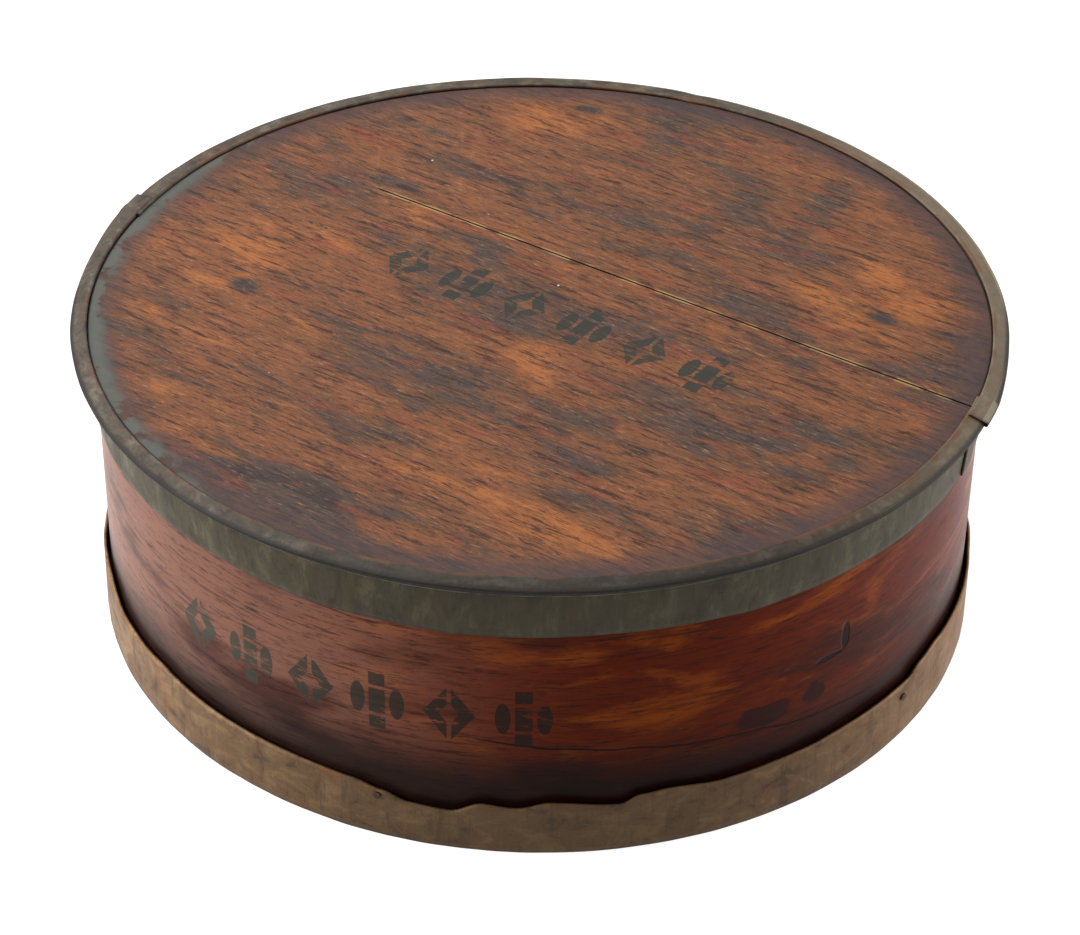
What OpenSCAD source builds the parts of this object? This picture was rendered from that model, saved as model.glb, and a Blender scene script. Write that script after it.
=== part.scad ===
// Round bentwood spice box with a tin-bound lid that lifts off, and seven small lidded canisters inside.
// Millimetres, +Z up. The origin is the middle of the underside, where the box stands on the table.

/* [Side hoop] */
// Outer diameter of the bent side hoop
hoop_d = 229.4; // [200:0.1:250]
// Thickness of the hoop's wood
hoop_t = 3; // [2.4:0.1:4]
// Height of the hoop
hoop_h = 72.8; // [62:0.1:90]
// Length of the hoop's lap, as an angle
hoop_lap_a = 18; // [14:1:26]
// Thickness of the thinned lap end inside the hoop
hoop_lap_t = 1.6; // [1:0.1:2]
// Width of the open joint line where the outer lap end stops
hoop_seam_w = 0.6; // [0.3:0.1:1]

/* [Base] */
// Thickness of the base board's flange under the hoop
base_flange_t = 5; // [4:0.5:8]
// Thickness of the base board's raised middle inside the hoop
base_plug_t = 5; // [4:0.5:8]
// Height of the tin band round the base
band_h = 16.5; // [13:0.5:20]
// Thickness of the base band's tin
band_t = 0.8; // [0.5:0.1:1]
// Gap between the hoop and the base band
band_standoff = 1.1; // [0.9:0.1:1.6]
// Length of the base band's lap, as an angle
band_lap_a = 9; // [8:1:14]
// Depth of the band's tacks below its top edge
band_tack_drop = 4; // [3:0.5:5]

/* [Lid] */
// Thickness of the lid board
lid_board_t = 5.95; // [5:0.05:9]
// How far the lid board reaches past the skirt's free edge
lid_board_over = 1; // [0.6:0.1:1.6]
// Depth of the skirt below the lid board's underside
skirt_drop = 11.7; // [8:0.1:18]
// Thickness of the lid's tin
skirt_t = 0.7; // [0.5:0.1:0.9]
// Clearance between the hoop and the skirt's free edge
skirt_clear = 0.35; // [0.2:0.05:0.8]
// Radius of the hollow roll under the rim
roll_r = 1.6; // [1.3:0.1:1.8]
// Width of the flat rim on top
rim_w = 4.45; // [4.2:0.05:5]
// Height of the rim's inner edge above the wood
rim_rise = 0.85; // [0.5:0.05:1.2]
// Fall of the rim from its inner to its outer edge
rim_fall = 1.15; // [0.8:0.05:1.5]
// Length of the lid tin's laps, as an angle
rim_lap_a = 4.5; // [3:0.5:7]
// Direction of the front tin half's first end
rim_start_a = 159.5; // [140:0.5:180]
// Direction of the lid board's grain
grain_a = -33.8; // [-60:0.1:0]
// Distance of the drying crack from the lid's centre
crack_offset = 22.7; // [10:0.1:40]
// Distance that the crack reaches past the lid's centre
crack_reach = 69; // [40:1:85]
// Width of the crack
crack_w = 0.5; // [0.3:0.1:0.8]
// Depth of the crack
crack_depth = 1.6; // [0.5:0.1:3]

/* [Canisters] */
// Gap between one canister and the next
can_gap = 0.8; // [0.5:0.1:1.5]
// Room between the ring of canisters and the hoop
can_room = 3.6; // [3:0.1:6]
// Space between the canisters' lids and the underside of the box lid
can_headroom = 5.5; // [4.5:0.5:8]
// Thickness of a canister's wall
can_wall_t = 1.8; // [1.4:0.1:2.4]
// Length of a canister wall's lap, as an angle
can_lap_a = 26; // [20:1:34]
// Thickness of a canister wall's inner lap end
can_lap_t = 1; // [0.6:0.1:1.4]
// Thickness of a canister's base disc
can_base_t = 4; // [3:0.5:6]
// Thickness of a canister's lid disc
can_lid_t = 3; // [2:0.5:4]
// Thickness of the canisters' tin
can_tin_t = 0.5; // [0.4:0.05:0.6]
// Height of a canister's tin base band
can_band_h = 9; // [6:0.5:12]
// Depth of a canister lid's tin below its disc
can_lid_drop = 11; // [8:0.5:14]
// Width of the tin folded over the top of a canister lid
can_fold_w = 2.2; // [1.5:0.1:3]
// Clearance between a canister's wall and its lid
can_clear = 0.35; // [0.2:0.05:0.6]

/* [Tacks] */
// Radius of a band tack's shank
tack_r = 0.5; // [0.4:0.05:0.7]
// Radius of a band tack's head
tack_head_r = 1; // [0.8:0.1:1.4]
// Thickness of a tack's head
tack_head_t = 0.4; // [0.2:0.1:0.5]
// Number of tacks round the base band
band_tacks_n = 5; // [4:1:8]
// Direction of the first band tack
band_tack_a = -109; // [-120:1:-95]
// Number of brads that hold the base board in the hoop
brads_n = 8; // [6:1:12]
// Length of a brad
brad_len = 9; // [7:0.5:14]
// Number of tacks in each row of the hoop's lap
lap_tacks_n = 4; // [3:1:5]

/* [Hidden] */
$fn = 120;
// Clearance between pieces of one assembly that touch
fit = 0.05;
// Clearance between pieces that are lifted apart
seat = 0.1;
// Overlap that joins two solids of one piece
weld = 0.2;
// Number of canisters round the middle one
can_ring_n = 6;

hoop_r = hoop_d / 2;
hoop_in = hoop_r - hoop_t;
hoop_z = base_flange_t;
hoop_top = hoop_z + hoop_h;
hoop_lap_mid = 90;
floor_z = base_flange_t + base_plug_t;

band_in = hoop_r + band_standoff;
band_out = band_in + band_t;
band_tack_step = 360 / band_tacks_n;
band_lap_tack = 3;
band_lap_mid = band_tack_a + band_lap_tack * band_tack_step;
band_tack_z = band_h - band_tack_drop;
tack_grip = 2.2;

board_z = hoop_top + seat;
board_top = board_z + lid_board_t;
skirt_low = board_z - skirt_drop;
skirt_in = hoop_r + skirt_clear;
wall_in = skirt_in + lid_board_over;
board_r = wall_in - fit;
rim_top = board_top + rim_rise;
rim_in = wall_in + 0.15;
rim_out = rim_in + rim_w;
rim_t = skirt_t;
hem_r = rim_t / 2 + 0.1;
lip_r = rim_t / 2 + 0.25;
hem_x = rim_in + hem_r;
hem_z = rim_top - hem_r;
lip_x = rim_out - lip_r;
lip_z = rim_top - rim_fall - lip_r;
rim_slope = atan2(hem_z - lip_z, lip_x - hem_x);
roll_x = wall_in + roll_r;
roll_z = hem_z - (roll_x - hem_x) * tan(rim_slope) - (roll_r + rim_t / 2 + fit) / cos(rim_slope);
wall_top = rim_top - 2 * hem_r - fit;
hem_steps = 8;
cover_t = 0.5;
cover_from = 0.2;
cover_end_a = -60;
joggle_a = 1;
end_gap_a = 0.08;

can_out = (hoop_in - can_room - can_gap) / 3;
can_pitch = 2 * can_out + can_gap;
can_z = floor_z + seat;
can_top = board_z - can_headroom;
can_lid_in = can_out - can_tin_t;
can_wall_r = can_lid_in - can_clear;
can_in = can_wall_r - can_wall_t;
can_lid_z = can_top - can_tin_t - fit - can_lid_t;
can_wall_top = can_lid_z - seat;
can_names = ["wall", "base", "band", "lid_board", "lid_band"];

// A closed ring from radius r1 to r2
module ring(r1, r2, z, h) {
    translate([0, 0, z])
        difference() {
            cylinder(r = r2, h = h);
            translate([0, 0, -1])
                cylinder(r = r1, h = h + 2);
        }
}

// Part of a ring, from direction a over an angle of sweep
module arc(r1, r2, z, h, a, sweep) {
    rotate([0, 0, a])
        rotate_extrude(angle = sweep)
            translate([r1, z])
                square([r2 - r1, h]);
}

// A round pin that points inward at direction a, from radius r_from down to r_to
module pin(r, r_from, r_to, a, z) {
    rotate([0, 0, a])
        translate([r_to, 0, z])
            rotate([0, 90, 0])
                cylinder(r = r, h = r_from - r_to, $fn = 32);
}

// A tack: its shank ends at r_to, and its flat head stands on the surface of radius r_face
module tack(r_face, r_to, a, z) {
    pin(tack_r, r_face + tack_head_t / 2, r_to, a, z);
    pin(tack_head_r, r_face + tack_head_t, r_face, a, z);
}

// Heights of the tacks in the hoop's lap, between the base band and the skirt's free edge
lap_tack_low = band_h + 6;
lap_tack_high = skirt_low - 6;
lap_tack_step = (lap_tack_high - lap_tack_low) / (lap_tacks_n - 1);
lap_tack_rows = [-0.28 * hoop_lap_a, 0.28 * hoop_lap_a];

module each_lap_tack() {
    for (row = lap_tack_rows)
        for (k = [0 : lap_tacks_n - 1]) {
            $tack_a = hoop_lap_mid + row;
            $tack_z = lap_tack_low + k * lap_tack_step;
            children();
        }
}

module each_brad() {
    for (k = [0 : brads_n - 1]) {
        $tack_a = (k + 0.5) * 360 / brads_n;
        $tack_z = hoop_z + base_plug_t / 2;
        children();
    }
}

module each_band_tack() {
    for (k = [0 : band_tacks_n - 1]) {
        $tack_a = band_tack_a + k * band_tack_step;
        $tack_z = band_tack_z;
        $tack_face = k == band_lap_tack ? band_out + band_t : band_out;
        children();
    }
}

module hoop_lap(extra) {
    arc(hoop_in - hoop_lap_t - extra, hoop_in + weld, hoop_z - extra, hoop_h + 2 * extra,
        hoop_lap_mid - hoop_lap_a / 2 - extra, hoop_lap_a + 2 * extra);
}

// The side hoop: one thin board bent round, with its inner end thinned and lapped behind the outer end
module side_hoop() {
    color("#7a3420")
        difference() {
            union() {
                ring(hoop_in, hoop_r, hoop_z, hoop_h);
                hoop_lap(0);
            }
            rotate([0, 0, hoop_lap_mid - hoop_lap_a / 2 + 1])
                translate([hoop_r - hoop_seam_w, -hoop_seam_w / 2, hoop_z - 1])
                    cube([hoop_t, hoop_seam_w, hoop_h + 2]);
            each_lap_tack()
                pin(tack_r + fit / 2, hoop_r + 1, hoop_in - hoop_lap_t / 2 - fit, $tack_a, $tack_z);
            each_brad()
                pin(tack_r + fit / 2, hoop_r + 1, hoop_in - 1, $tack_a, $tack_z);
            each_band_tack()
                pin(tack_r + fit / 2, hoop_r + 1, hoop_r - tack_grip - fit, $tack_a, $tack_z);
        }
}

module hoop_tacks() {
    color("#3a322c")
        each_lap_tack()
            tack(hoop_r, hoop_in - hoop_lap_t / 2, $tack_a, $tack_z);
}

// The base board: a turned disc whose flange carries the hoop and whose raised middle fills it
module base_board() {
    color("#6b4a30")
        difference() {
            union() {
                cylinder(r = band_in - fit, h = base_flange_t);
                cylinder(r = hoop_in - fit, h = floor_z);
            }
            difference() {
                hoop_lap(seat);
                cylinder(r = hoop_r + 1, h = hoop_z);
            }
            each_brad()
                pin(tack_r + fit / 2, hoop_r + 1, hoop_r - brad_len - fit, $tack_a, $tack_z);
        }
}

module base_brads() {
    color("#3a322c")
        each_brad()
            tack(hoop_r, hoop_r - brad_len, $tack_a, $tack_z);
}

// The tin band round the base, with one lap at the back
module base_band() {
    color("#8a6f52")
        difference() {
            union() {
                ring(band_in, band_out, 0, band_h);
                arc(band_out - weld, band_out + band_t, 0, band_h, band_lap_mid - band_lap_a / 2, band_lap_a);
            }
            each_band_tack()
                pin(tack_r + fit / 2, band_out + 2 * band_t, hoop_r, $tack_a, $tack_z);
        }
}

module band_tacks() {
    color("#3a322c")
        each_band_tack()
            tack($tack_face, hoop_r - tack_grip, $tack_a, $tack_z);
}

// The lid board: a flat disc with a drying crack that follows its grain
module lid_board() {
    color("#9a5a35")
        difference() {
            translate([0, 0, board_z])
                cylinder(r = board_r, h = lid_board_t);
            rotate([0, 0, grain_a])
                translate([-crack_reach, crack_offset - crack_w / 2, board_top - crack_depth])
                    cube([crack_reach + board_r, crack_w, crack_depth + 1]);
        }
}

// Section of the skirt: a wall that closes in towards its free edge, with a hollow roll along its top
module skirt_section() {
    skirt_wall_section(0, wall_top);
    difference() {
        translate([roll_x, roll_z])
            circle(r = roll_r);
        translate([roll_x, roll_z])
            circle(r = roll_r - skirt_t);
    }
}

module skirt_wall_section(out, top) {
    polygon([
        [skirt_in + out, skirt_low],
        [skirt_in + out + skirt_t, skirt_low],
        [wall_in + out + skirt_t, board_z],
        [wall_in + out + skirt_t, top],
        [wall_in + out, top],
        [wall_in + out, board_z]
    ]);
}

// One half of the skirt, from direction a, with its first end lapped outside the other half
module skirt_half(a) {
    lap_out = skirt_t + fit;
    lap_top = roll_z - roll_r - seat;
    rotate([0, 0, a]) {
        rotate_extrude(angle = 180 - end_gap_a)
            skirt_section();
        rotate([0, 0, -rim_lap_a])
            rotate_extrude(angle = rim_lap_a + joggle_a)
                skirt_wall_section(lap_out, lap_top);
        rotate_extrude(angle = joggle_a)
            skirt_wall_section(lap_out / 2, lap_top);
    }
}

// Points along an arc of radius r round (x, z), from angle a0 to angle a1
function arc_points(x, z, r, a0, a1, steps) = [
    for (k = [0 : steps])
        let (a = a0 + (a1 - a0) * k / steps)
            [x + r * cos(a), z + r * sin(a)]
];

// A point beside the line from the rim's hem to its lip: share t along it, and out from it
function rim_point(t, out) = [
    hem_x + (lip_x - hem_x) * t + out * sin(rim_slope),
    hem_z + (lip_z - hem_z) * t + out * cos(rim_slope)
];

// Half the rim's thickness at share t along that line
function rim_half_t(t) = hem_r + (lip_r - hem_r) * t;

// Section of the rim: a flat strip that falls outward, with a hem along both edges
module rim_section() {
    polygon(concat(
        arc_points(hem_x, hem_z, hem_r, 90 - rim_slope, 270 - rim_slope, hem_steps),
        [rim_point(0.25, -rim_t / 2), rim_point(0.75, -rim_t / 2)],
        arc_points(lip_x, lip_z, lip_r, -90 - rim_slope, 90 - rim_slope, hem_steps)
    ));
}

// Section of a rim's lapped end, which covers the other half's rim and hooks over its lip
module rim_cover_section() {
    under = rim_half_t(cover_from) + fit;
    polygon(concat(
        [rim_point(cover_from, under + cover_t)],
        arc_points(lip_x, lip_z, lip_r + fit + cover_t, 90 - rim_slope, cover_end_a, hem_steps),
        arc_points(lip_x, lip_z, lip_r + fit, cover_end_a, 90 - rim_slope, hem_steps),
        [rim_point(cover_from, under)]
    ));
}

// Section of the short step that joins the lapped end to its own rim
module rim_step_section() {
    polygon(concat(
        [rim_point(cover_from + 0.1, 0), rim_point(cover_from + 0.1, rim_half_t(cover_from) + fit + cover_t / 2)],
        arc_points(lip_x, lip_z, lip_r + fit + cover_t / 2, 90 - rim_slope, cover_end_a + 10, hem_steps),
        [[lip_x, lip_z]]
    ));
}

module rim_half(a) {
    rotate([0, 0, a]) {
        rotate_extrude(angle = 180 - end_gap_a)
            rim_section();
        rotate([0, 0, -rim_lap_a])
            rotate_extrude(angle = rim_lap_a + joggle_a / 2)
                rim_cover_section();
        rotate([0, 0, end_gap_a])
            rotate_extrude(angle = joggle_a)
                rim_step_section();
    }
}

module lid_skirt_front() {
    color("#5a5646")
        skirt_half(rim_start_a);
}

module lid_skirt_back() {
    color("#5a5646")
        skirt_half(rim_start_a + 180);
}

module lid_rim_front() {
    color("#6b5d50")
        rim_half(rim_start_a);
}

module lid_rim_back() {
    color("#6b5d50")
        rim_half(rim_start_a + 180);
}

// Moves a piece to the place of canister i: the first six stand in a ring, and the last in the middle
module at_canister(i) {
    rotate([0, 0, (i - 1) * 360 / can_ring_n])
        translate([i > can_ring_n ? 0 : can_pitch, 0, 0])
            rotate([0, 0, -(i - 1) * 360 / can_ring_n])
                children();
}

// A canister's wall: a thin strip bent round, with its inner end thinned and lapped behind the outer end
module canister_wall() {
    color("#a8683c")
        difference() {
            translate([0, 0, can_z])
                cylinder(r = can_wall_r, h = can_wall_top - can_z);
            difference() {
                translate([0, 0, can_z - 1])
                    cylinder(r = can_in, h = can_wall_top - can_z + 2);
                arc(can_in - can_lap_t, can_wall_r, can_z + can_base_t + fit, can_wall_top - can_z,
                    90 - can_lap_a / 2, can_lap_a);
            }
        }
}

module canister_base() {
    color("#93592f")
        translate([0, 0, can_z])
            cylinder(r = can_in - fit, h = can_base_t);
}

module canister_band() {
    color("#8f8a7c")
        ring(can_wall_r + fit, can_wall_r + fit + can_tin_t, can_z, can_band_h);
}

module canister_lid_board() {
    color("#b0703f")
        translate([0, 0, can_lid_z])
            cylinder(r = can_lid_in - fit, h = can_lid_t);
}

// The tin round a canister's lid, folded over the disc's edge
module canister_lid_band() {
    color("#8f8a7c")
        rotate_extrude()
            polygon([
                [can_lid_in, can_lid_z - can_lid_drop],
                [can_out, can_lid_z - can_lid_drop],
                [can_out, can_top],
                [can_out - can_fold_w, can_top],
                [can_out - can_fold_w, can_top - can_tin_t],
                [can_lid_in, can_top - can_tin_t]
            ]);
}

side_hoop();
hoop_tacks();
base_board();
base_brads();
base_band();
band_tacks();
lid_board();
lid_skirt_front();
lid_skirt_back();
lid_rim_front();
lid_rim_back();
for (i = [1 : can_ring_n + 1]) {
    at_canister(i) canister_wall();
    at_canister(i) canister_base();
    at_canister(i) canister_band();
    at_canister(i) canister_lid_board();
    at_canister(i) canister_lid_band();
}
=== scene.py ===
"""Round bentwood spice box with a tin-bound lift-off lid, dressed over its CAD frame."""

import math

import bmesh
import bpy
from mathutils import Matrix, Vector, noise


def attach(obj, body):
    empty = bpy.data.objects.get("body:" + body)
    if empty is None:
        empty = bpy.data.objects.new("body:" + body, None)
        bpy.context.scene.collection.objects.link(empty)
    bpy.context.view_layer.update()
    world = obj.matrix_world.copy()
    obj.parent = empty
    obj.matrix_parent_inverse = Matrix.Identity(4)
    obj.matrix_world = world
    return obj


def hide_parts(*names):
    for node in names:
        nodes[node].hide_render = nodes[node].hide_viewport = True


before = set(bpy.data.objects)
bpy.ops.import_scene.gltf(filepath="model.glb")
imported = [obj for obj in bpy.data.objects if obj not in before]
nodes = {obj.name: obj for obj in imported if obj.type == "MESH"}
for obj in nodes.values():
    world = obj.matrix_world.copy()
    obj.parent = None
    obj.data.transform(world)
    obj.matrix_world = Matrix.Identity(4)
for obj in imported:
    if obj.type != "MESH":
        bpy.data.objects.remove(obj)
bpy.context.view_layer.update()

MM = 0.001

# Sizes of the box in millimetres, as the CAD frame has them.
HOOP_R = 114.7
HOOP_TOP = 77.8
BAND_R = 116.6
BAND_TOP = 16.5
BAND_LAP_AT = 102.5
BAND_LAP = 9.0
LID_TOP = 83.85
LID_R = 116.0
GRAIN_DEG = -33.8
CRACK_ACROSS = 22.7
CRACK_FROM = -69.0
FRONT_START = 155.0
BACK_START = -25.0
TIN_HALF = 184.5
TIN_LAP = 4.5


# Camera, floor and light

def camera_at_photo_angle():
    """Puts the camera where a pinhole fitted to the outlines stands."""
    lift, tilt, swing, lean = 0.65103, -0.03031, -0.00072, -0.01474
    away = 0.85871
    back = Vector((0, -math.cos(lift), math.sin(lift)))
    lift += tilt
    axis = Vector((math.sin(swing) * math.cos(lift), -math.cos(swing) * math.cos(lift), math.sin(lift)))
    level = Vector((math.cos(swing), math.sin(swing), 0))
    upright = axis.cross(level)
    right = math.cos(lean) * level - math.sin(lean) * upright
    up = math.sin(lean) * level + math.cos(lean) * upright
    data = bpy.data.cameras.new("studio_camera")
    data.sensor_fit = "HORIZONTAL"
    data.sensor_width = 36.0
    data.lens = 104.546
    data.clip_start, data.clip_end = 0.01, 50.0
    camera = bpy.data.objects.new("studio_camera", data)
    turn = Matrix((right, up, axis)).transposed().to_4x4()
    camera.matrix_world = Matrix.Translation(back * away) @ turn
    bpy.context.scene.collection.objects.link(camera)
    bpy.context.scene.camera = camera


def linear(hex_colour):
    """An sRGB hex colour as linear light, with alpha."""
    parts = [int(hex_colour[i : i + 2], 16) / 255 for i in (1, 3, 5)]
    return tuple(p / 12.92 if p <= 0.04045 else ((p + 0.055) / 1.055) ** 2.4 for p in parts) + (1.0,)


def add(tree, kind, feeds=None, **settings):
    """Adds one node with its settings, and its values or links by socket."""
    node = tree.nodes.new(kind)
    for name, value in settings.items():
        setattr(node, name, value)
    for socket, value in (feeds or {}).items():
        if isinstance(value, bpy.types.NodeSocket):
            tree.links.new(value, node.inputs[socket])
        else:
            node.inputs[socket].default_value = value
    return node


def new_material(name):
    """An empty material with its output, and the tree that it is built in."""
    material = bpy.data.materials.new(name)
    material.use_nodes = True
    material.node_tree.nodes.clear()
    return material, material.node_tree


def floor_and_light():
    """A plain pale floor, a white surround and soft lamps."""
    shape = bmesh.new()
    bmesh.ops.create_grid(shape, x_segments=1, y_segments=1, size=4.0)
    bmesh.ops.translate(shape, verts=shape.verts, vec=(0, 0, -0.0002))
    mesh = bpy.data.meshes.new("floor")
    shape.to_mesh(mesh)
    shape.free()
    floor = bpy.data.objects.new("floor", mesh)
    bpy.context.scene.collection.objects.link(floor)
    material, tree = new_material("white_paper_floor")
    rays = add(tree, "ShaderNodeLightPath")
    seen = add(tree, "ShaderNodeMath", {0: rays.outputs["Is Camera Ray"], 1: rays.outputs["Is Glossy Ray"]}, operation="MAXIMUM")
    seen = add(tree, "ShaderNodeMath", {0: seen.outputs[0], 1: rays.outputs["Is Transmission Ray"]}, operation="MAXIMUM")
    glow = add(tree, "ShaderNodeMath", {0: seen.outputs[0], 1: 0.9}, operation="MULTIPLY")
    paper = add(tree, "ShaderNodeBsdfDiffuse", {"Color": linear("#979694")})
    shine = add(tree, "ShaderNodeEmission", {"Color": linear("#ffffff"), "Strength": glow.outputs[0]})
    both = add(tree, "ShaderNodeAddShader", {0: paper.outputs[0], 1: shine.outputs[0]})
    add(tree, "ShaderNodeOutputMaterial", {"Surface": both.outputs[0]})
    mesh.materials.append(material)

    world = bpy.data.worlds.new("white_surround")
    world.use_nodes = True
    tree = world.node_tree
    tree.nodes.clear()
    rays = add(tree, "ShaderNodeLightPath")
    seen = add(tree, "ShaderNodeMath", {0: rays.outputs["Is Camera Ray"], 1: rays.outputs["Is Glossy Ray"]}, operation="MAXIMUM")
    seen = add(tree, "ShaderNodeMath", {0: seen.outputs[0], 1: rays.outputs["Is Transmission Ray"]}, operation="MAXIMUM")
    level = add(tree, "ShaderNodeMapRange", {"Value": seen.outputs[0], "To Min": 0.20, "To Max": 1.0})
    light = add(tree, "ShaderNodeBackground", {"Color": linear("#ffffff"), "Strength": level.outputs[0]})
    add(tree, "ShaderNodeOutputWorld", {"Surface": light.outputs[0]})
    bpy.context.scene.world = world

    for name, place, power, size in (
        ("soft_box_above_left", (-0.65, 0.45, 1.25), 21.0, 1.1),
        ("soft_box_left", (-1.35, -0.2, 0.5), 15.0, 0.8),
        ("soft_box_right", (1.3, 0.2, 0.5), 11.0, 0.8),
    ):
        data = bpy.data.lights.new(name, "AREA")
        data.energy = power
        data.shape = "DISK"
        data.size = size
        lamp = bpy.data.objects.new(name, data)
        lamp.location = place
        lamp.rotation_euler = (-Vector(place)).to_track_quat("-Z", "Y").to_euler()
        bpy.context.scene.collection.objects.link(lamp)
    bpy.context.scene.view_settings.view_transform = "Standard"


# Pattern parts that several finishes use. All places are in millimetres.

def flat_place(tree, turn_deg=0.0):
    """The object's own place in millimetres, turned so that the grain runs along X."""
    spot = add(tree, "ShaderNodeTexCoord").outputs["Object"]
    laid = add(
        tree,
        "ShaderNodeMapping",
        {"Vector": spot, "Rotation": (0, 0, math.radians(turn_deg)), "Scale": (1000, 1000, 1000)},
    )
    return laid.outputs[0]


def unrolled_place(tree, radius):
    """The place unrolled round the box: along the strip, up, and out. Its join is at the back."""
    spot = add(tree, "ShaderNodeTexCoord").outputs["Object"]
    laid = add(tree, "ShaderNodeMapping", {"Vector": spot, "Scale": (1000, 1000, 1000)}).outputs[0]
    part = add(tree, "ShaderNodeSeparateXYZ", {0: laid})
    front = add(tree, "ShaderNodeMath", {0: part.outputs[1], 1: -1.0}, operation="MULTIPLY")
    turn = add(tree, "ShaderNodeMath", {0: part.outputs[0], 1: front.outputs[0]}, operation="ARCTAN2")
    along = add(tree, "ShaderNodeMath", {0: turn.outputs[0], 1: radius}, operation="MULTIPLY")
    level = add(tree, "ShaderNodeCombineXYZ", {0: part.outputs[0], 1: part.outputs[1]})
    out = add(tree, "ShaderNodeVectorMath", {0: level.outputs[0]}, operation="LENGTH")
    return add(tree, "ShaderNodeCombineXYZ", {0: along.outputs[0], 1: part.outputs[2], 2: out.outputs["Value"]}).outputs[0]


def mottle(tree, place, size, shift=0.0, detail=4.0, roughness=0.55, distortion=0.0):
    """Uneven colour whose patches measure size along, across and deep."""
    laid = add(
        tree,
        "ShaderNodeMapping",
        {"Vector": place, "Scale": tuple(1 / s for s in size), "Location": (shift, shift * 0.7, shift * 1.3)},
    )
    return add(
        tree,
        "ShaderNodeTexNoise",
        {"Vector": laid.outputs[0], "Scale": 1.0, "Detail": detail, "Roughness": roughness, "Distortion": distortion},
    ).outputs[0]


def layer(tree, under, over, mask, start, end, most=1.0):
    """Lays one colour over another as mask goes from start to end."""
    amount = add(
        tree,
        "ShaderNodeMapRange",
        {"Value": mask, "From Min": start, "From Max": end, "To Max": most},
        interpolation_type="SMOOTHSTEP",
    )
    return add(tree, "ShaderNodeMix", {0: amount.outputs[0], 6: under, 7: over}, data_type="RGBA").outputs[2]


def sum_of(tree, first, second, by="ADD"):
    """Two values joined by one sum."""
    return add(tree, "ShaderNodeMath", {0: first, 1: second}, operation=by).outputs[0]


def step(tree, value, start, end, most=1.0):
    """A mask that rises smoothly to most as value goes from start to end."""
    return add(
        tree,
        "ShaderNodeMapRange",
        {"Value": value, "From Min": start, "From Max": end, "To Max": most},
        interpolation_type="SMOOTHSTEP",
    ).outputs[0]


def oval(tree, place, middle, reach):
    """Distance from middle in units of reach along and across, for one stain or scratch."""
    laid = add(
        tree,
        "ShaderNodeMapping",
        {
            "Vector": place,
            "Scale": (1 / reach[0], 1 / reach[1], 0.0),
            "Location": (-middle[0] / reach[0], -middle[1] / reach[1], 0.0),
        },
    )
    return add(tree, "ShaderNodeVectorMath", {0: laid.outputs[0]}, operation="LENGTH").outputs["Value"]


def specks(tree, place, spacing, size, share):
    """Small pale specks: a mask that is 1 on a few dots, size across, one in a spacing."""
    laid = add(tree, "ShaderNodeMapping", {"Vector": place, "Scale": (1 / spacing,) * 3})
    dots = add(tree, "ShaderNodeTexVoronoi", {"Vector": laid.outputs[0], "Scale": 1.0}, feature="F1")
    near = step(tree, dots.outputs["Distance"], size / spacing, size / spacing * 0.4)
    tint = add(tree, "ShaderNodeSeparateXYZ", {0: dots.outputs["Color"]})
    kept = sum_of(tree, tint.outputs[0], share, "LESS_THAN")
    return sum_of(tree, near, kept, "MULTIPLY")


def stencil_row(tree, along, across, pitch, count):
    """A plain row of stencilled lozenges and barred leaves with bridges, 17 mm high."""
    cell = sum_of(tree, along, 1 / pitch, "MULTIPLY")
    index = add(tree, "ShaderNodeMath", {0: cell}, operation="FLOOR").outputs[0]
    local = sum_of(tree, sum_of(tree, sum_of(tree, cell, index, "SUBTRACT"), 0.5, "SUBTRACT"), pitch, "MULTIPLY")
    side = add(tree, "ShaderNodeMath", {0: local}, operation="ABSOLUTE").outputs[0]
    rise = add(tree, "ShaderNodeMath", {0: across}, operation="ABSOLUTE").outputs[0]

    slope = sum_of(tree, sum_of(tree, side, 1 / 6.4, "MULTIPLY"), sum_of(tree, rise, 1 / 8.6, "MULTIPLY"), "ADD")
    lozenge = step(tree, slope, 1.03, 0.97)
    lozenge = sum_of(tree, lozenge, step(tree, slope, 0.36, 0.42), "MULTIPLY")
    lozenge = sum_of(tree, lozenge, step(tree, side, 0.35, 0.75), "MULTIPLY")

    stem = sum_of(tree, step(tree, side, 2.3, 1.9), step(tree, rise, 8.7, 8.3), "MULTIPLY")
    gap = sum_of(tree, rise, 4.2, "SUBTRACT")
    gap = add(tree, "ShaderNodeMath", {0: gap}, operation="ABSOLUTE").outputs[0]
    stem = sum_of(tree, stem, step(tree, gap, 0.3, 0.7), "MULTIPLY")
    over = sum_of(tree, side, 5.0, "SUBTRACT")
    leaf = add(tree, "ShaderNodeCombineXYZ", {0: sum_of(tree, over, 1 / 1.9, "MULTIPLY"), 1: sum_of(tree, rise, 1 / 4.6, "MULTIPLY")})
    leaf = add(tree, "ShaderNodeVectorMath", {0: leaf.outputs[0]}, operation="LENGTH").outputs["Value"]
    leaf = step(tree, leaf, 1.06, 0.94)
    barred = sum_of(tree, stem, leaf, "MAXIMUM")

    odd = add(tree, "ShaderNodeMath", {0: index, 1: 2.0}, operation="FLOORED_MODULO").outputs[0]
    marks = add(tree, "ShaderNodeMix", {0: odd, 2: lozenge, 3: barred}, data_type="FLOAT").outputs[0]
    inside = sum_of(tree, sum_of(tree, along, 0.0, "GREATER_THAN"), sum_of(tree, along, pitch * count, "LESS_THAN"), "MULTIPLY")
    return sum_of(tree, marks, inside, "MULTIPLY")


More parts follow.
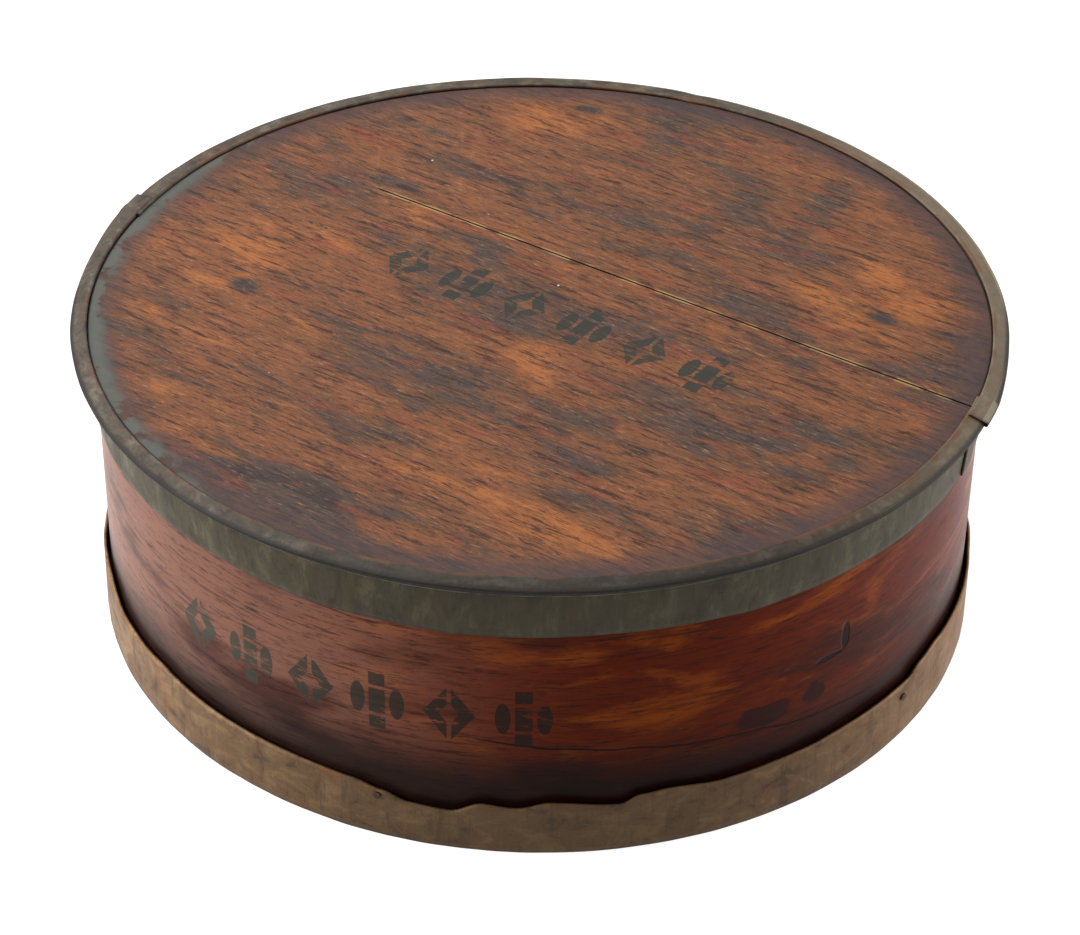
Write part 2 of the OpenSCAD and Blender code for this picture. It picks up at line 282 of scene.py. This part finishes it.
def surface(tree, colour, roughness, height, depth_mm, **sockets):
    """The Principled shader with its colour, roughness and bump."""
    feeds = {"Base Color": colour, "Roughness": roughness}
    if height is not None:
        bump = add(tree, "ShaderNodeBump", {"Height": height, "Distance": depth_mm * MM, "Strength": 1.0})
        feeds["Normal"] = bump.outputs[0]
    for name, value in sockets.items():
        feeds[name.replace("_", " ")] = value
    shader = add(tree, "ShaderNodeBsdfPrincipled", feeds)
    add(tree, "ShaderNodeOutputMaterial", {"Surface": shader.outputs[0]})


# Finishes

def oiled_lid_wood():
    """Mahogany board, oiled and worn by hands: orange where the finish is left, purple-grey where it is stained."""
    material, tree = new_material("mahogany_oiled_worn")
    place = flat_place(tree, -GRAIN_DEG)
    split = add(tree, "ShaderNodeSeparateXYZ", {0: place})
    along, across, level = split.outputs
    plain = flat_place(tree)
    angle_part = add(tree, "ShaderNodeSeparateXYZ", {0: plain})
    flat = add(tree, "ShaderNodeCombineXYZ", {0: angle_part.outputs[0], 1: angle_part.outputs[1]})
    radius = add(tree, "ShaderNodeVectorMath", {0: flat.outputs[0]}, operation="LENGTH").outputs["Value"]

    patches = mottle(tree, place, (46, 20, 30), 3.1, 5.0, 0.6, 0.4)
    clouds = mottle(tree, place, (22, 8, 30), 8.7, 8.0, 0.68, 0.5)
    streaks = mottle(tree, place, (13, 1.6, 6), 5.3, 9.0, 0.74, 0.5)
    fibres = mottle(tree, place, (3.6, 0.45, 3), 1.9, 6.0, 0.74, 0.3)
    pores = mottle(tree, place, (2.6, 0.34, 3), 44.0, 3.0, 0.6)

    # Where the oil finish is left and where it is stained or rubbed away.
    warmth = sum_of(tree, sum_of(tree, patches, 0.45, "MULTIPLY"), sum_of(tree, clouds, 0.55, "MULTIPLY"), "ADD")
    for middle, reach, push in (
        ((-82, -34), (34, 34), 0.07), ((48, -80), (52, 15), 0.14), ((75, 58), (34, 18), 0.10),
        ((-50, 82), (34, 10), 0.08), ((74, 2), (26, 10), 0.07), ((20, -28), (34, 12), 0.04),
        ((-4, -104), (44, 15), -0.15), ((-6, -46), (44, 17), -0.09), ((-18, 44), (42, 14), -0.09),
        ((36, 84), (8, 34), -0.10), ((2, -2), (74, 15), -0.07), ((-68, -37), (5, 4), -0.30),
        ((-84, 8), (20, 16), -0.05), ((70, -22), (34, 14), -0.06), ((14, 56), (40, 14), -0.05),
        ((100, 26), (16, 18), -0.10), ((-46, 93), (5, 3), -0.25), ((76, 45), (5, 3), -0.22),
    ):
        spread = step(tree, oval(tree, place, middle, reach), 1.15, 0.15, 1.0)
        warmth = sum_of(tree, warmth, sum_of(tree, spread, push, "MULTIPLY"), "ADD")

    colour = layer(tree, linear("#5e3f2c"), linear("#74482e"), warmth, 0.44, 0.52)
    colour = layer(tree, colour, linear("#9b5d31"), warmth, 0.53, 0.66, 0.9)
    colour = layer(tree, colour, linear("#483a35"), warmth, 0.48, 0.38, 0.9)
    colour = layer(tree, colour, linear("#352b2b"), warmth, 0.39, 0.28, 0.8)
    colour = layer(tree, colour, linear("#7c3f2b"), mottle(tree, place, (24, 6, 20), 13.0, 4.0), 0.54, 0.68, 0.6)
    colour = layer(tree, colour, linear("#2c1c17"), streaks, 0.49, 0.38, 0.9)
    colour = layer(tree, colour, linear("#a8714a"), streaks, 0.57, 0.67, 0.42)
    colour = layer(tree, colour, linear("#261711"), fibres, 0.47, 0.37, 0.84)
    colour = layer(tree, colour, linear("#bd916c"), fibres, 0.56, 0.68, 0.46)
    colour = layer(tree, colour, linear("#150d0a"), pores, 0.38, 0.31, 0.8)

    # The pale outline that a square label left.
    square = add(
        tree,
        "ShaderNodeMapping",
        {"Vector": plain, "Scale": (1 / 11.5, 1 / 17.0, 1.0), "Location": (34 / 11.5, -73.5 / 17.0, 0)},
    )
    square = add(tree, "ShaderNodeSeparateXYZ", {0: add(tree, "ShaderNodeVectorMath", {0: square.outputs[0]}, operation="ABSOLUTE").outputs[0]})
    square = sum_of(tree, square.outputs[0], square.outputs[1], "MAXIMUM")
    square = sum_of(tree, step(tree, square, 0.93, 0.99), step(tree, square, 1.07, 1.0), "MULTIPLY")
    square = sum_of(tree, square, step(tree, clouds, 0.40, 0.58), "MULTIPLY")
    colour = layer(tree, colour, linear("#8c7360"), square, 0.0, 1.0, 0.16)

    # Grime and stain near the rim, with a pale verdigris line on one side where the tin meets the board, and a
    # painted black shadow line in the gap under the rim's inner edge.
    edge = sum_of(tree, radius, mottle(tree, plain, (14, 14, 14), 4.0), "ADD")
    colour = layer(tree, colour, linear("#3b3234"), edge, 105.0, 114.5, 0.7)
    sides = step(tree, angle_part.outputs[0], -30.0, -100.0)
    bloom = sum_of(tree, sum_of(tree, radius, sum_of(tree, mottle(tree, plain, (5, 5, 5), 9.0), 4.0, "MULTIPLY"), "ADD"), 102.0, "SUBTRACT")
    patchy = step(tree, mottle(tree, plain, (16, 16, 16), 21.0, 5.0, 0.65), 0.30, 0.50)
    sides = sum_of(tree, sides, patchy, "MULTIPLY")
    colour = layer(tree, colour, linear("#59615a"), sum_of(tree, bloom, sides, "MULTIPLY"), 9.5, 14.5, 0.75)
    # Painted shadow: a black line on the board just inside the rim, where the hem's inner edge stands over the wood.
    colour = layer(tree, colour, linear("#0d0a08"), radius, 115.5, 115.85)

    # The drying crack: raw pale edges, dark inside.
    near = add(tree, "ShaderNodeMath", {0: sum_of(tree, across, CRACK_ACROSS, "SUBTRACT")}, operation="ABSOLUTE").outputs[0]
    beyond = step(tree, along, CRACK_FROM - 2.0, CRACK_FROM + 4.0)
    pale = sum_of(tree, step(tree, near, 1.1, 0.45), beyond, "MULTIPLY")
    pale = sum_of(tree, pale, step(tree, mottle(tree, place, (9, 6, 6), 2.2), 0.40, 0.60), "MULTIPLY")
    colour = layer(tree, colour, linear("#b08f60"), pale, 0.0, 1.0, 0.75)
    dark = sum_of(tree, step(tree, near, 0.34, 0.26), beyond, "MULTIPLY")
    colour = layer(tree, colour, linear("#1b110b"), dark, 0.0, 1.0)

    # Ornament row, worn by use.
    shifted = sum_of(tree, along, 49.0, "ADD")
    centred = sum_of(tree, across, 3.0, "ADD")
    marks = stencil_row(tree, shifted, centred, 18.4, 6)
    worn = step(tree, mottle(tree, place, (9, 2.5, 8), 31.0, 7.0, 0.7), 0.36, 0.48)
    marks = sum_of(tree, marks, worn, "MULTIPLY")
    on_top = sum_of(tree, level, LID_TOP - 0.5, "GREATER_THAN")
    marks = sum_of(tree, marks, on_top, "MULTIPLY")
    colour = layer(tree, colour, linear("#242924"), marks, 0.0, 1.0, 0.9)

    colour = layer(tree, colour, linear("#e6ddd0"), specks(tree, plain, 17.0, 0.42, 0.28), 0.0, 1.0, 0.9)
    rough = add(tree, "ShaderNodeMapRange", {"Value": clouds, "To Min": 0.62, "To Max": 0.44}).outputs[0]
    height = sum_of(tree, streaks, sum_of(tree, fibres, 0.6, "MULTIPLY"), "ADD")
    surface(tree, colour, rough, height, 0.14, Specular_IOR_Level=0.14)
    return material


def varnished_side_wood():
    """Bent mahogany strip under old shellac: deep red, glossy, darker towards the bottom, with painted sheen paling
    the left side to pinkish grey. The inside is bare.
    """
    material, tree = new_material("mahogany_shellacked")
    place = unrolled_place(tree, HOOP_R)
    split = add(tree, "ShaderNodeSeparateXYZ", {0: place})
    along, up, out = split.outputs

    patches = mottle(tree, place, (60, 20, 30), 2.4, 4.0, 0.55, 0.3)
    clouds = mottle(tree, place, (34, 10, 30), 11.7, 5.0, 0.6, 0.5)
    streaks = mottle(tree, place, (17, 1.5, 6), 6.1, 9.0, 0.72, 0.5)
    fibres = mottle(tree, place, (4.5, 0.5, 3), 9.2, 6.0, 0.74, 0.3)

    colour = layer(tree, linear("#742608"), linear("#ac5214"), clouds, 0.47, 0.68)
    # Painted sheen: the left side is paled to pinkish grey, standing in for the grazing reflection and the stronger
    # light from the left.
    left = step(tree, along, 32.0, -88.0)
    colour = layer(tree, colour, linear("#9a6d5c"), left, 0.0, 1.0, 0.9)
    colour = layer(tree, colour, linear("#3d150c"), patches, 0.51, 0.35, 0.8)
    colour = layer(tree, colour, linear("#2b110c"), streaks, 0.49, 0.35, 0.75)
    colour = layer(tree, colour, linear("#a9602f"), streaks, 0.58, 0.72, 0.4)
    colour = layer(tree, colour, linear("#2a100a"), fibres, 0.47, 0.36, 0.7)
    # Darker towards the bottom.
    low = sum_of(tree, up, sum_of(tree, clouds, 14.0, "MULTIPLY"), "SUBTRACT")
    colour = layer(tree, colour, linear("#181010"), low, 30.0, 11.0, 0.92)

    # A long fine crack, two dark knots and a few slits, right of the middle.
    bend = sum_of(tree, up, sum_of(tree, along, 0.105, "MULTIPLY"), "ADD")
    wander = sum_of(tree, sum_of(tree, mottle(tree, place, (22, 50, 50), 7.0), 5.0, "MULTIPLY"), 2.5, "SUBTRACT")
    line = sum_of(tree, sum_of(tree, bend, wander, "ADD"), 32.6, "SUBTRACT")
    line = step(tree, add(tree, "ShaderNodeMath", {0: line}, operation="ABSOLUTE").outputs[0], 0.38, 0.16)
    reach = sum_of(tree, step(tree, along, -20.0, -8.0), step(tree, along, 98.0, 84.0), "MULTIPLY")
    crack = sum_of(tree, line, reach, "MULTIPLY")
    ragged = sum_of(tree, mottle(tree, place, (5, 3, 5), 3.0, 4.0, 0.6), 0.9, "MULTIPLY")
    knots = step(tree, sum_of(tree, oval(tree, place, (58, 31), (10.5, 4.4)), ragged, "ADD"), 1.45, 1.05)
    other = step(tree, sum_of(tree, oval(tree, place, (73, 32), (4.2, 4.0)), ragged, "ADD"), 1.5, 1.05)
    knots = sum_of(tree, knots, other, "MAXIMUM")
    slits = step(tree, sum_of(tree, oval(tree, place, (82, 45.5), (1.5, 4.8)), ragged, "ADD"), 1.5, 1.1)
    other = step(tree, sum_of(tree, oval(tree, place, (77, 41.0), (4.6, 1.0)), ragged, "ADD"), 1.5, 1.1)
    slits = sum_of(tree, slits, other, "MAXIMUM")
    colour = layer(tree, colour, linear("#2c1210"), knots, 0.0, 1.0, 0.85)
    colour = layer(tree, colour, linear("#180c0a"), sum_of(tree, crack, slits, "MAXIMUM"), 0.0, 1.0, 0.9)

    # Ornament row.
    shifted = sum_of(tree, along, 101.0, "ADD")
    centred = sum_of(tree, up, 40.6, "SUBTRACT")
    marks = stencil_row(tree, shifted, centred, 17.9, 6)
    worn = step(tree, mottle(tree, place, (8, 2.2, 8), 17.0, 7.0, 0.7), 0.36, 0.48)
    outside = sum_of(tree, out, HOOP_R - 0.6, "GREATER_THAN")
    marks = sum_of(tree, sum_of(tree, marks, worn, "MULTIPLY"), outside, "MULTIPLY")
    # The ink is painted lighter and greener towards the left: painted sheen, as on the wood there.
    ink = layer(tree, linear("#221f1b"), linear("#454940"), along, 0.0, -90.0)
    colour = layer(tree, colour, ink, marks, 0.0, 1.0, 0.86)
    colour = layer(tree, colour, linear("#d9b8a0"), specks(tree, place, 19.0, 0.40, 0.22), 0.0, 1.0, 0.8)

    bare = layer(tree, linear("#a87a50"), linear("#7c5334"), streaks, 0.62, 0.36, 0.9)
    bare = layer(tree, bare, linear("#5f4028"), fibres, 0.46, 0.32, 0.6)
    inside = step(tree, out, HOOP_R - 0.9, HOOP_R - 1.6)
    colour = add(tree, "ShaderNodeMix", {0: inside, 6: colour, 7: bare}, data_type="RGBA").outputs[2]

    gloss = add(tree, "ShaderNodeMapRange", {"Value": clouds, "To Min": 0.42, "To Max": 0.24}).outputs[0]
    gloss = sum_of(tree, gloss, sum_of(tree, inside, 0.35, "MULTIPLY"), "ADD")
    height = sum_of(tree, sum_of(tree, patches, 2.2, "MULTIPLY"), sum_of(tree, streaks, 0.5, "MULTIPLY"), "ADD")
    height = sum_of(tree, height, sum_of(tree, sum_of(tree, crack, slits, "MAXIMUM"), -1.0, "MULTIPLY"), "ADD")
    surface(tree, colour, gloss, height, 0.14, Specular_IOR_Level=0.06)
    return material


def aged_tin(name, base, light, dark, rust, size, roughness, metal, front_shade, handled, rolled=False, hemmed=False):
    """Tinplate gone dull: the tin shows as soft grey cloud between brown oxide and rust."""
    material, tree = new_material(name)
    place = unrolled_place(tree, 118.0)
    clouds = mottle(tree, place, size, 3.3, 6.0, 0.62, 0.5)
    blotch = mottle(tree, place, tuple(s * 2.6 for s in size), 12.1, 4.0, 0.6, 0.8)
    grit = mottle(tree, place, (0.9, 0.9, 0.9), 5.0, 3.0, 0.6)
    runs = mottle(tree, place, (2.2, 16, 4), 8.8, 4.0, 0.6)
    colour = layer(tree, linear(base), linear(light), clouds, 0.50, 0.66, 0.8)
    colour = layer(tree, colour, linear(dark), clouds, 0.47, 0.33, 0.8)
    colour = layer(tree, colour, linear(rust), blotch, 0.58, 0.72, 0.7)
    colour = layer(tree, colour, linear(dark), runs, 0.47, 0.34, 0.45)
    colour = layer(tree, colour, linear(light), runs, 0.56, 0.70, 0.35)
    colour = layer(tree, colour, linear(dark), grit, 0.44, 0.32, 0.4)
    along, up, out = add(tree, "ShaderNodeSeparateXYZ", {0: place}).outputs
    # Painted shade darkens the side that faces the front, and hands have rubbed the right side to a warmer tone.
    facing = add(tree, "ShaderNodeMath", {0: along}, operation="ABSOLUTE").outputs[0]
    colour = layer(tree, colour, linear(front_shade[0]), facing, 130.0, 15.0, front_shade[1])
    right = sum_of(tree, step(tree, along, 40.0, 170.0), step(tree, along, 345.0, 235.0), "MULTIPLY")
    colour = layer(tree, colour, linear(handled[0]), right, 0.0, 1.0, handled[1])
    if rolled:
        # Painted shade: near-black over the roll's upper side, in the crease under the rim's lip; and a painted
        # highlight, a pale line along the roll's lower side.
        past = sum_of(tree, out, 117.2, "GREATER_THAN")
        roll_highlight = add(tree, "ShaderNodeMath", {0: sum_of(tree, up, 80.5, "SUBTRACT")}, operation="ABSOLUTE").outputs[0]
        roll_highlight = sum_of(tree, sum_of(tree, step(tree, roll_highlight, 0.45, 0.15), past, "MULTIPLY"), step(tree, clouds, 0.36, 0.56), "MULTIPLY")
        colour = layer(tree, colour, linear("#0f0c08"), sum_of(tree, step(tree, up, 80.75, 81.2), past, "MULTIPLY"), 0.0, 1.0, 0.93)
        colour = layer(tree, colour, linear("#a19c88"), roll_highlight, 0.0, 1.0, 0.8)
    if hemmed:
        # Rust along the hem, where damp lies between tin and board.
        damp = sum_of(tree, step(tree, out, 117.9, 116.6), step(tree, blotch, 0.42, 0.60), "MULTIPLY")
        colour = layer(tree, colour, linear(rust), damp, 0.0, 1.0, 0.7)
        # Painted highlight: a pale line along the crest of the rolled outer edge, on the right side.
        edge_highlight = sum_of(tree, step(tree, out, 119.6, 119.9), step(tree, along, 40.0, 120.0), "MULTIPLY")
        colour = layer(tree, colour, linear("#948b76"), edge_highlight, 0.0, 1.0, 0.55)
        # Painted shade: near-black on the rolled lip's lower side, in the crease under the rim, at the front where
        # the lip is not raised.
        colour = layer(tree, colour, linear("#15100b"), up, 83.8, 83.4, 0.93)
    colour = layer(tree, colour, linear("#cfc9bb"), specks(tree, place, 13.0, 0.36, 0.25), 0.0, 1.0, 0.85)
    rough = add(tree, "ShaderNodeMapRange", {"Value": clouds, "To Min": roughness + 0.1, "To Max": roughness - 0.08}).outputs[0]
    height = sum_of(tree, grit, sum_of(tree, blotch, 3.0, "MULTIPLY"), "ADD")
    surface(tree, colour, rough, height, 0.10, Metallic=metal, Specular_IOR_Level=0.3)
    return material


def hand_forged_iron():
    """Small cut tacks: dark iron, pitted with rust."""
    material, tree = new_material("iron_tack_rusted")
    place = flat_place(tree)
    pits = mottle(tree, place, (0.8, 0.8, 0.8), 1.0, 4.0, 0.6)
    colour = layer(tree, linear("#2d2825"), linear("#6b3d22"), pits, 0.48, 0.66, 0.8)
    surface(tree, colour, 0.55, pits, 0.08, Metallic=0.6)
    return material


def bare_wood(name, base, dark, light, turned):
    """Turned or planed hardwood with no finish: pale, matt, with open grain."""
    material, tree = new_material(name)
    place = flat_place(tree, 0.0 if turned else -GRAIN_DEG)
    streaks = mottle(tree, place, (40, 2.2, 12), 4.4, 5.0, 0.6, 0.3)
    fibres = mottle(tree, place, (12, 0.5, 6), 7.7, 3.0, 0.6)
    clouds = mottle(tree, place, (34, 24, 30), 1.4, 4.0, 0.6, 0.4)
    colour = layer(tree, linear(base), linear(light), streaks, 0.50, 0.68, 0.7)
    colour = layer(tree, colour, linear(dark), clouds, 0.52, 0.34, 0.5)
    colour = layer(tree, colour, linear(dark), streaks, 0.48, 0.33, 0.6)
    colour = layer(tree, colour, linear(dark), fibres, 0.45, 0.32, 0.5)
    rough = add(tree, "ShaderNodeMapRange", {"Value": streaks, "To Min": 0.7, "To Max": 0.52}).outputs[0]
    height = sum_of(tree, streaks, sum_of(tree, fibres, 0.5, "MULTIPLY"), "ADD")
    surface(tree, colour, rough, height, 0.15)
    return material


# Pieces

def wobble(turn, seed, waves=3.0):
    """A slow unevenness from -1 to 1 that joins up round the box."""
    angle = math.radians(turn)
    return noise.noise(Vector((math.cos(angle) * waves, math.sin(angle) * waves, seed)))


def smooth(value, start, end):
    """0 before start, 1 after end, and a smooth rise between."""
    t = min(1.0, max(0.0, (value - start) / (end - start)))
    return t * t * (3 - 2 * t)


def bent_strip(name, section, start, sweep, closed, worked, steps_a_degree=2.0):
    """Spins a section of radii and heights round the box, then works each ring one by one."""
    shape = bmesh.new()
    first = [shape.verts.new((r * MM, 0.0, z * MM)) for r, z in section]
    loop = [shape.edges.new(pair) for pair in zip(first, first[1:])]
    if closed:
        loop.append(shape.edges.new((first[-1], first[0])))
    steps = int(sweep * steps_a_degree)
    bmesh.ops.spin(
        shape,
        geom=first + loop,
        cent=(0, 0, 0),
        axis=(0, 0, 1),
        dvec=(0, 0, 0),
        angle=math.radians(sweep),
        steps=steps,
        use_merge=False,
    )
    shape.verts.ensure_lookup_table()
    for number, vert in enumerate(shape.verts):
        turn = start + (number // len(section)) * sweep / steps
        r, z = math.hypot(vert.co.x, vert.co.y) / MM, vert.co.z / MM
        turn, r, z = worked(turn, r, z)
        angle = math.radians(turn)
        vert.co = (r * MM * math.cos(angle), r * MM * math.sin(angle), z * MM)
    if closed:
        # Each end is open: the hem's two layers show as a lip round a dark hollow.
        ends = bmesh.ops.holes_fill(shape, edges=[e for e in shape.edges if e.is_boundary], sides=0)["faces"]
        bmesh.ops.recalc_face_normals(shape, faces=shape.faces)
        bmesh.ops.inset_region(shape, faces=ends, thickness=0.13 * MM, depth=0.0, use_even_offset=True)
        for end in ends:
            bmesh.ops.translate(shape, verts=end.verts, vec=end.normal * -2.2 * MM)
    bmesh.ops.recalc_face_normals(shape, faces=shape.faces)
    if not closed:
        middle = shape.faces[0].calc_center_median()
        if shape.faces[0].normal.dot(Vector((middle.x, middle.y, 0))) < 0:
            bmesh.ops.reverse_faces(shape, faces=shape.faces)
    mesh = bpy.data.meshes.new(name)
    shape.to_mesh(mesh)
    shape.free()
    mesh.polygons.foreach_set("use_smooth", [True] * len(mesh.polygons))
    piece = bpy.data.objects.new(name, mesh)
    bpy.context.scene.collection.objects.link(piece)
    return piece


def finish_piece(piece, material, body, node):
    """Gives a piece its finish and its body, and hides the node that it stands for."""
    piece.data.materials.append(material)
    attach(piece, body)
    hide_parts(node)


def arc(centre, radius, start, end, count):
    """Points of an arc in a section, radius and height, by degrees."""
    turns = [start + (end - start) * i / count for i in range(count + 1)]
    return [(centre[0] + radius * math.cos(math.radians(t)), centre[1] + radius * math.sin(math.radians(t))) for t in turns]


# Height of the dented band's top edge, by degrees round the box, with 270 at the front.
BAND_EDGE = (
    (0, 17.2), (14, 16.2), (30, 17.4), (48, 16.0), (66, 16.9), (84, 15.6), (99, 16.6), (118, 16.8),
    (136, 15.8), (158, 17.6), (178, 16.6), (197, 18.9), (203.6, 17.0), (210.4, 16.9), (215.7, 17.6),
    (218.7, 17.1), (236, 16.4), (247.4, 15.6), (251.5, 14.0), (255, 12.0), (259.9, 11.4), (263.9, 14.5),
    (267.8, 13.7), (272, 15.6), (280.5, 14.0), (283, 16.2), (286.3, 16.7), (292.9, 15.8), (304, 16.2),
    (316.1, 16.8), (324.5, 16.4), (327.4, 18.0), (331.9, 18.6), (345, 17.6), (360, 17.2),
)


def band_edge(turn):
    """The top edge's height at an angle, eased between the measured places."""
    turn %= 360
    for (a, low), (b, high) in zip(BAND_EDGE, BAND_EDGE[1:]):
        if a <= turn <= b:
            return low + (high - low) * smooth(turn, a, b)
    return BAND_EDGE[0][1]


def dented_base_band():
    """Tin band round the base, its top edge knocked wavy, lapped over itself at the back."""
    rows = 9
    section = [(BAND_R, BAND_TOP * i / rows) for i in range(rows + 1)]
    start = BAND_LAP_AT

    def worked(turn, r, z):
        share = z / BAND_TOP
        lap = smooth(turn, start + 360 - 3, start + 360)
        dent = 0.28 * wobble(turn, 1.5, 7.0) * share - 0.15 * share
        dent += 0.12 * wobble(turn, 4.5, 19.0)
        flat = smooth(math.sin(math.radians(turn + 58)), 0.80, 1.0)
        r += dent + 0.78 * lap - 0.05 * (1 - share) - 0.55 * flat * math.cos(math.radians(turn)) ** 2
        base = 0.04 + 0.18 * max(0.0, wobble(turn, 9.5, 5.0))
        z = base + (band_edge(turn) - base) * share
        return turn, r, z

    piece = bent_strip("dented_tin_base_band", section, start, 360 + BAND_LAP, False, worked, 3.0)
    wall = piece.modifiers.new("tin_thickness", "SOLIDIFY")
    wall.thickness = 0.7 * MM
    wall.offset = -1.0
    return piece


def skirt_half(name, start):
    """Half of the lid's tin skirt: a flaring wall with a hollow roll along the top."""
    wall = [(115.65, 66.2), (115.8, 67.6), (116.05, 70.4), (116.35, 74.0), (116.65, 77.9), (116.65, 80.0)]
    roll = arc((117.65, 81.73), 1.55, -132, 176, 16)
    section = wall + roll

    def worked(turn, r, z):
        lap = 1 - smooth(turn, start + TIN_LAP - 1.2, start + TIN_LAP + 1.4)
        low = 1 - smooth(z, 66.2, 76.0)
        r += 0.60 * lap + (0.22 * wobble(turn, 2.5, 6.0) + 0.1 * wobble(turn, 7.5, 18.0)) * (0.35 + 0.65 * low)
        z += low * (0.55 * wobble(turn, 11.5, 4.0) + 0.25 * wobble(turn, 3.5, 14.0)) + 0.08 * wobble(turn, 6.5, 10.0)
        return turn, r, z

    piece = bent_strip(name, section, start, TIN_HALF, False, worked)
    wall = piece.modifiers.new("tin_thickness", "SOLIDIFY")
    wall.thickness = 0.5 * MM
    wall.offset = -1.0
    return piece


def rim_half(name, start):
    """Half of the lid's rim: a tin strip hemmed at the board and rolled at its outer edge."""
    section = arc((116.65, 84.2), 0.45, 249, 69, 8) + arc((120.0, 82.92), 0.58, 69, -111, 8)

    def worked(turn, r, z):
        lap = 1 - smooth(turn, start + TIN_LAP - 0.5, start + TIN_LAP + 0.5)
        proud = 1 - smooth(turn, start + 2.0, start + 15.0)
        outer = smooth(r, 116.9, 119.8)
        back = smooth(math.sin(math.radians(turn)), -0.1, 0.5)
        r += 0.16 * wobble(turn, 5.5, 7.0) - 0.08 * outer * (1 + wobble(turn, 8.5, 16.0))
        z += 0.08 * wobble(turn, 2.2, 9.0) - 0.08 + 1.25 * outer * back
        r -= 0.5 * math.exp(-(((turn % 360) - 68.5) / 2.0) ** 2)
        r += 0.95 * proud * outer
        z += (0.36 if back < 0.9 or outer < 0.5 else 0.14) * lap
        # Towards its other end the strip creeps in over the board, so that a step shows where the next one starts.
        crept = smooth(turn, start + TIN_HALF - 26.0, start + TIN_HALF - TIN_LAP)
        r -= 0.62 * crept * (1 - outer)
        z += 0.10 * crept * (1 - outer)
        return turn, r, z

    return bent_strip(name, section, start, TIN_HALF, True, worked)


camera_at_photo_angle()
floor_and_light()

lid_wood = oiled_lid_wood()
side_wood = varnished_side_wood()
rim_tin = aged_tin(
    "tinplate_rim_brown_patina", "#453b30", "#655c4f", "#28211a", "#5f3b20", (6, 3.2, 3.2), 0.6, 0.2,
    ("#1a1510", 0.66), ("#86755f", 0.45), hemmed=True,
)
skirt_tin = aged_tin(
    "tinplate_skirt_bronze_patina", "#463e2a", "#655d43", "#282113", "#4f3c24", (5, 11, 5), 0.52, 0.22,
    ("#292113", 0.4), ("#544733", 0.2), rolled=True,
)
base_tin = aged_tin(
    "tinplate_base_tan_patina", "#7b5c3d", "#9a7850", "#403022", "#985627", (8, 5, 5), 0.52, 0.2,
    ("#43331e", 0.5), ("#a3774f", 0.45),
)
canister_tin = aged_tin(
    "tinplate_canister_grey", "#8d8a80", "#b3b0a6", "#5c574d", "#7d6040", (6, 5, 5), 0.40, 0.7,
    ("#7d796e", 0.2), ("#8d8a80", 0.2),
)
tack_iron = hand_forged_iron()
base_wood = bare_wood("mahogany_base_bare", "#7a5236", "#4f3423", "#94683f", True)
canister_wood = bare_wood("maple_strip_bare", "#b88c5c", "#86603a", "#cfa673", True)
canister_lid_wood = bare_wood("maple_disc_oiled", "#a9784a", "#744c2b", "#c08f5c", False)

finish_piece(dented_base_band(), base_tin, "box", "base_band")
finish_piece(skirt_half("rolled_tin_skirt_front", FRONT_START), skirt_tin, "lid", "lid_skirt_front")
finish_piece(skirt_half("rolled_tin_skirt_back", BACK_START), skirt_tin, "lid", "lid_skirt_back")
finish_piece(rim_half("hemmed_tin_rim_front", FRONT_START), rim_tin, "lid", "lid_rim_front")
finish_piece(rim_half("hemmed_tin_rim_back", BACK_START), rim_tin, "lid", "lid_rim_back")

# The other nodes keep their CAD shapes and take these finishes.
for name, node in nodes.items():
    if name.startswith("canister_"):
        if name.endswith("_lid_board"):
            material = canister_lid_wood
        elif name.endswith("band"):
            material = canister_tin
        else:
            material = canister_wood
    elif name == "lid_board":
        material = lid_wood
    elif name == "side_hoop":
        material = side_wood
    elif name == "base_board":
        material = base_wood
    elif name in ("hoop_tacks", "base_brads", "band_tacks"):
        material = tack_iron
    else:
        material = rim_tin
    node.data.materials.clear()
    node.data.materials.append(material)
